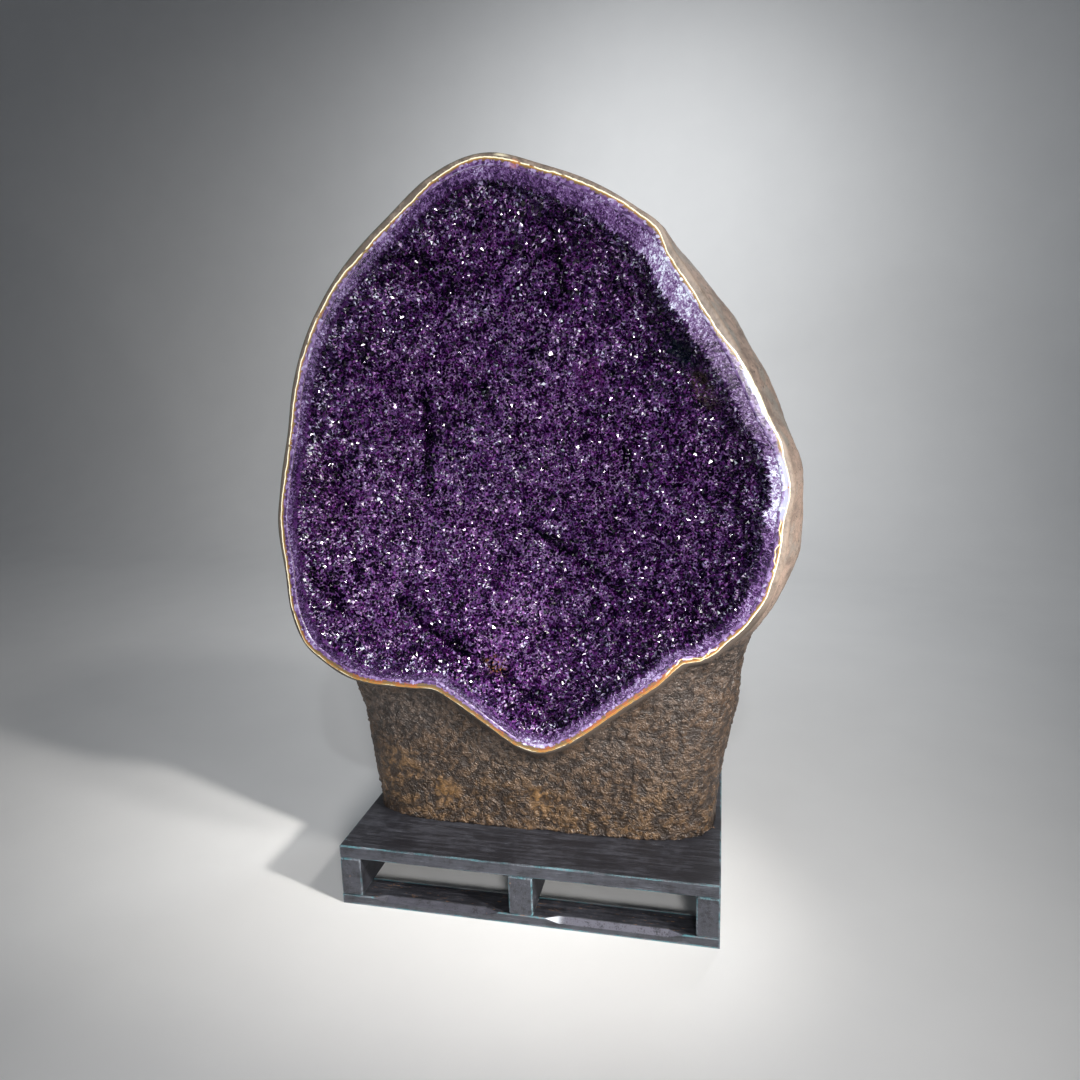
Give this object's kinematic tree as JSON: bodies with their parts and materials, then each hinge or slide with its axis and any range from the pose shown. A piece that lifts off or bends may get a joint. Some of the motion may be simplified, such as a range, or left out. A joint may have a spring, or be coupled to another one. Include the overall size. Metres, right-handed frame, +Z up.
{
  "type": "geode half on a stand",
  "caption": "Tall half geode lined with purple crystals, polished along its sawn edge, standing on its own foot on a low black timber stand with fork slots.",
  "frame": {"origin": "on the floor, under the middle of the object's bounding box", "axes": "+Z up, the crystal-lined opening faces -Y, +X is to the right seen from the front"},
  "size_m": [1.3867, 0.82, 1.9007],
  "materials": {
    "rock": "knobbly brown rind with smoother grey-brown patches; the sawn edge is polished, with cream, gold and rust-orange bands",
    "amethyst": "small clear purple crystal points with flat bright faces, paler and whiter where the crust was sawn and polished",
    "black_timber": "worn black paint over rough timber, rubbed paler along the edges"
  },
  "bodies": {
    "root": {"geode_rock": "rock", "amethyst_crust": "amethyst", "deck": "black_timber", "stringer_left": "black_timber", "stringer_centre": "black_timber", "stringer_right": "black_timber", "bottom_board_front": "black_timber", "bottom_board_rear": "black_timber"}
  },
  "joints": []
}
